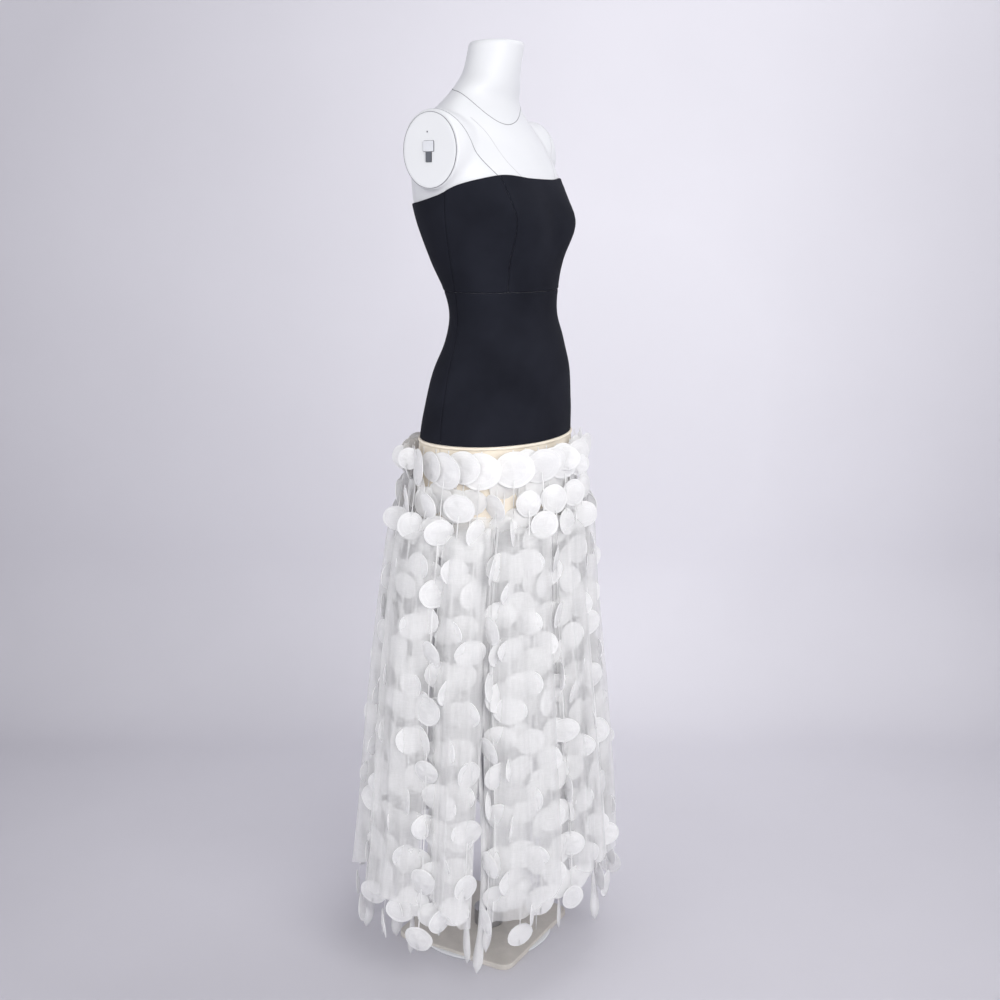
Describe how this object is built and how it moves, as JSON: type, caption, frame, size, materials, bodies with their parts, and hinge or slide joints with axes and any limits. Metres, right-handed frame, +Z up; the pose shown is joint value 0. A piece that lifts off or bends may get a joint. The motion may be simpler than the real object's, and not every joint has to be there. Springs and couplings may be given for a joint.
{
  "type": "strapless maxi dress on a dress form",
  "caption": "Strapless black bodice to the hip over an ivory yoke and a long skirt of hanging organza discs, on a white limbless dress form with a square base.",
  "frame": {"origin": "middle of the base plate's underside, on the floor", "axes": "+Z up the stand, -Y the way the dress faces, -X the wearer's right side"},
  "size_m": [0.5494, 0.4867, 1.59],
  "materials": {
    "black_crepe": "matte crepe",
    "ivory_yoke": "matte woven",
    "white_organza": "crisp, slightly sheer",
    "sheer_organza": "sheer",
    "form_white_gloss": "gloss",
    "bright_steel": "satin",
    "base_plate_paint": "satin"
  },
  "bodies": {
    "root": {"front_upper_centre": "black_crepe", "front_upper_side_right": "black_crepe", "front_upper_side_left": "black_crepe", "back_upper_right": "black_crepe", "back_upper_left": "black_crepe", "front_lower": "black_crepe", "back_lower_right": "black_crepe", "back_lower_left": "black_crepe", "yoke_front": "ivory_yoke", "yoke_back": "ivory_yoke", "fringe_front_right": "white_organza", "fringe_front_left": "white_organza", "fringe_back_left": "white_organza", "fringe_back_right": "white_organza", "veil_panel_01": "sheer_organza", "veil_panel_02": "sheer_organza", "veil_panel_03": "sheer_organza", "veil_panel_04": "sheer_organza", "veil_panel_05": "sheer_organza", "veil_panel_06": "sheer_organza", "veil_panel_07": "sheer_organza", "veil_panel_08": "sheer_organza", "veil_panel_09": "sheer_organza", "veil_panel_10": "sheer_organza", "veil_panel_11": "sheer_organza", "veil_panel_12": "sheer_organza", "form_torso": "form_white_gloss", "arm_fitting_right": "bright_steel", "arm_fitting_left": "bright_steel", "stand_pole": "bright_steel", "base_plate": "base_plate_paint"}
  },
  "joints": []
}
